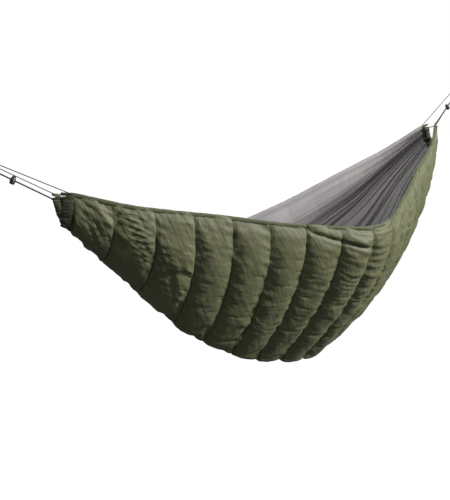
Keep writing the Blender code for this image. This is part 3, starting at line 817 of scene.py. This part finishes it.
def stitches(grid, shell, material):
    """Lock stitches along every seam of the outer shell, each a short square rod."""
    ring = ((1, 0), (0, 1), (-1, 0), (0, -1))
    points, faces = [], []
    for row in np.where(grid.from_seam < ON_SEAM)[0]:
        run = run_along(shell[row])
        for place in np.arange(STITCH_MARGIN, run[-1] - STITCH_MARGIN, STITCH_PITCH):
            start = at_run(place, run, shell[row])
            stop = at_run(place + STITCH_LENGTH, run, shell[row])
            normal = at_run(place, run, grid.normal[row])
            side = np.cross(normal, stop - start)
            side /= np.linalg.norm(side)
            first = len(points)
            for base in (start, stop):
                for a, b in ring:
                    points.append(base + (side * a + normal * (b + STITCH_LIFT)) * STITCH_RADIUS)
            for k in range(4):
                following = (k + 1) % 4
                faces.append((first + k, first + following, first + 4 + following, first + 4 + k))
            faces.append((first + 3, first + 2, first + 1, first))
            faces.append((first + 4, first + 5, first + 6, first + 7))
    settle(add_mesh("seam_stitches", points, faces), material, [])


# Cords and hard pieces


def wear(name, material):
    """Put a material on a CAD node."""
    mesh = frame["nodes"][name].data
    mesh.materials.clear()
    mesh.materials.append(material)
    smooth_rounds(mesh)


def lock_spring(label, material):
    """The coil under one plunger."""
    coil_node = frame["nodes"][f"cord_lock_{label}_spring"]
    mesh = coil_node.data.copy()
    mesh.transform(coil_node.matrix_world)
    mesh.materials.clear()
    coil = add_object(f"lock_coil_{label}", mesh)
    settle(coil, material, [coil_node.name], f"lock_{label}")
    points = vertices_of(coil)
    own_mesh(coil)


def dress_hard_parts():
    black, worn_black = (0.007, 0.007, 0.007), (0.03, 0.03, 0.03)
    bright, worn_bright = (0.55, 0.55, 0.56), (0.75, 0.75, 0.76)
    dark, worn_dark = (0.03, 0.03, 0.033), (0.12, 0.12, 0.125)
    plastic = hard_material("lock_plastic", black, worn_black, 0.42, metallic=0.0, grain=900.0, depth=0.0002)
    steel = hard_material("spring_steel", bright, worn_bright, 0.3, metallic=1.0, grain=1500.0, depth=0.0001)
    alloy = hard_material("hook_alloy", dark, worn_dark, 0.42, metallic=0.6, grain=1200.0, depth=0.00005)
    looks = {"lock_plastic": plastic, "spring_steel": steel, "hook_alloy": alloy}
    for part in frame["record"]["subparts"]:
        if part["material_slot"] in looks:
            wear(part["node"], looks[part["material_slot"]])
    for label in ("left", "right"):
        lock_spring(label, steel)


def dress_cords():
    elastic = cord_material("shock_cord", (0.016, 0.016, 0.016), (0.035, 0.035, 0.035), 300.0)
    black = cord_material("drawcord", (0.006, 0.006, 0.006), (0.014, 0.014, 0.014), 260.0)
    for name, look in (("shock_cord", elastic), ("drawcord_left", black), ("drawcord_right", black)):
        wear(name, look)


# Stage, light and camera


def add_camera():
    yaw, pitch, roll = CAMERA_YAW, CAMERA_PITCH, CAMERA_ROLL
    ahead = Vector((math.sin(yaw) * math.cos(pitch), math.cos(yaw) * math.cos(pitch), math.sin(pitch)))
    level = Vector((math.cos(yaw), -math.sin(yaw), 0.0))
    above = level.cross(ahead)
    right = level * math.cos(roll) + above * math.sin(roll)
    up = above * math.cos(roll) - level * math.sin(roll)
    data = bpy.data.cameras.new("camera")
    data.lens = CAMERA_LENS
    data.sensor_width = SENSOR_WIDTH
    camera = add_object("camera", data)
    axes = Matrix((right, up, -ahead)).transposed()
    camera.matrix_world = Matrix.Translation(CAMERA_PLACE) @ axes.to_4x4()
    bpy.context.scene.camera = camera


def add_light(name, place, size, power):
    data = bpy.data.lights.new(name, "AREA")
    data.size = size
    data.energy = power
    light = add_object(name, data)
    light.location = place
    light.rotation_euler = (LIGHT_AIM - Vector(place)).to_track_quat("-Z", "Y").to_euler()


def seen_or_lighting(tree, seen, lighting):
    """A shader that is one thing to the camera and another to every other ray."""
    rays = node(tree, "ShaderNodeLightPath")
    choice = node(tree, "ShaderNodeMixShader")
    tree.links.new(rays.outputs["Is Camera Ray"], choice.inputs[0])
    tree.links.new(lighting, choice.inputs[1])
    tree.links.new(seen, choice.inputs[2])
    return choice.outputs[0]


def add_floor():
    """A wide pale floor. It looks white to the camera, and sends little light back up."""
    made, tree, shader = new_material("studio_floor", (0.12, 0.12, 0.12), 0.95)
    links = tree.links
    white = node(tree, "ShaderNodeEmission", Strength=1.06)
    pale = node(tree, "ShaderNodeBsdfDiffuse", Color=(0.9, 0.9, 0.9, 1.0))
    seen = node(tree, "ShaderNodeMixShader", Fac=0.97)
    links.new(pale.outputs[0], seen.inputs[1])
    links.new(white.outputs[0], seen.inputs[2])
    choice = seen_or_lighting(tree, seen.outputs[0], shader.outputs[0])
    links.new(choice, tree.nodes["Material Output"].inputs["Surface"])
    half = FLOOR_SIZE / 2
    corners = ((-half, -half), (half, -half), (half, half), (-half, half))
    floor = add_mesh("studio_floor", [(x, y, FLOOR_Z) for x, y in corners], [(0, 1, 2, 3)])
    floor.data.materials.append(made)


def add_world(seen, strength):
    """White to the camera, and a dimmer light from all round for the quilt."""
    world = bpy.data.worlds.new("world")
    world.use_nodes = True
    tree = world.node_tree
    background = tree.nodes["Background"]
    background.inputs["Strength"].default_value = strength
    background.inputs["Color"].default_value = (1.0, 1.0, 1.0, 1.0)
    backdrop = node(tree, "ShaderNodeBackground", Strength=seen, Color=(1.0, 1.0, 1.0, 1.0))
    choice = seen_or_lighting(tree, backdrop.outputs[0], background.outputs[0])
    tree.links.new(choice, tree.nodes["World Output"].inputs["Surface"])
    bpy.context.scene.world = world


def build_soft_pieces():
    olive, worn_olive = (0.082, 0.086, 0.040), (0.108, 0.112, 0.060)
    grey, worn_grey = (0.21, 0.20, 0.20), (0.26, 0.245, 0.245)
    dark, worn_dark = (0.045, 0.052, 0.020), (0.07, 0.078, 0.036)
    # The end tunnels get a darker copy of the tape colour: painted shade, for tunnels that hang in shadow.
    shaded_end_colour, worn_shaded_end_colour = (0.018, 0.020, 0.008), (0.035, 0.039, 0.018)
    shell_cloth = cloth_material("shell_cloth", olive, worn_olive, 0.54, 0.10, SLANTED_BUMPS, ripstop=True)
    lining_cloth = cloth_material("lining_cloth", grey, worn_grey, 0.55, 0.3, LEVEL_BUMPS)
    tape = cloth_material("binding_cloth", dark, worn_dark, 0.6, 0.2, PLEAT_BUMPS)
    shaded_end_tape = cloth_material("end_cloth_painted_shade", shaded_end_colour, worn_shaded_end_colour, 0.6, 0.2, PLEAT_BUMPS)
    thread = new_material("seam_thread", (0.035, 0.040, 0.018), 0.7)[0]
    grid = Grid()
    shell = outer_shell(grid, shell_cloth)
    lining = inner_lining(grid, lining_cloth)
    batting(grid, shell, lining, batting_material())
    for label, side in (("near", -1), ("far", 1)):
        side_binding(label, side, tape)
    # The end tunnels wear the darker copy of the tape, which is painted shade.
    for label, end in (("left", -1), ("right", 1)):
        end_tunnel(label, end, shaded_end_tape)
    stitches(grid, shell, thread)


def main():
    bpy.context.scene.view_settings.view_transform = "Standard"
    build_soft_pieces()
    dress_cords()
    dress_hard_parts()
    add_floor()
    add_world(seen=1.0, strength=0.28)
    add_light("key", place=(4.6, -8.0, 3.6), size=2.0, power=1780.0)
    add_light("top", place=(0.6, 0.2, 3.6), size=2.5, power=70.0)
    add_light("fill", place=(-3.2, -3.0, 2.4), size=3.0, power=6.0)
    add_camera()


main()
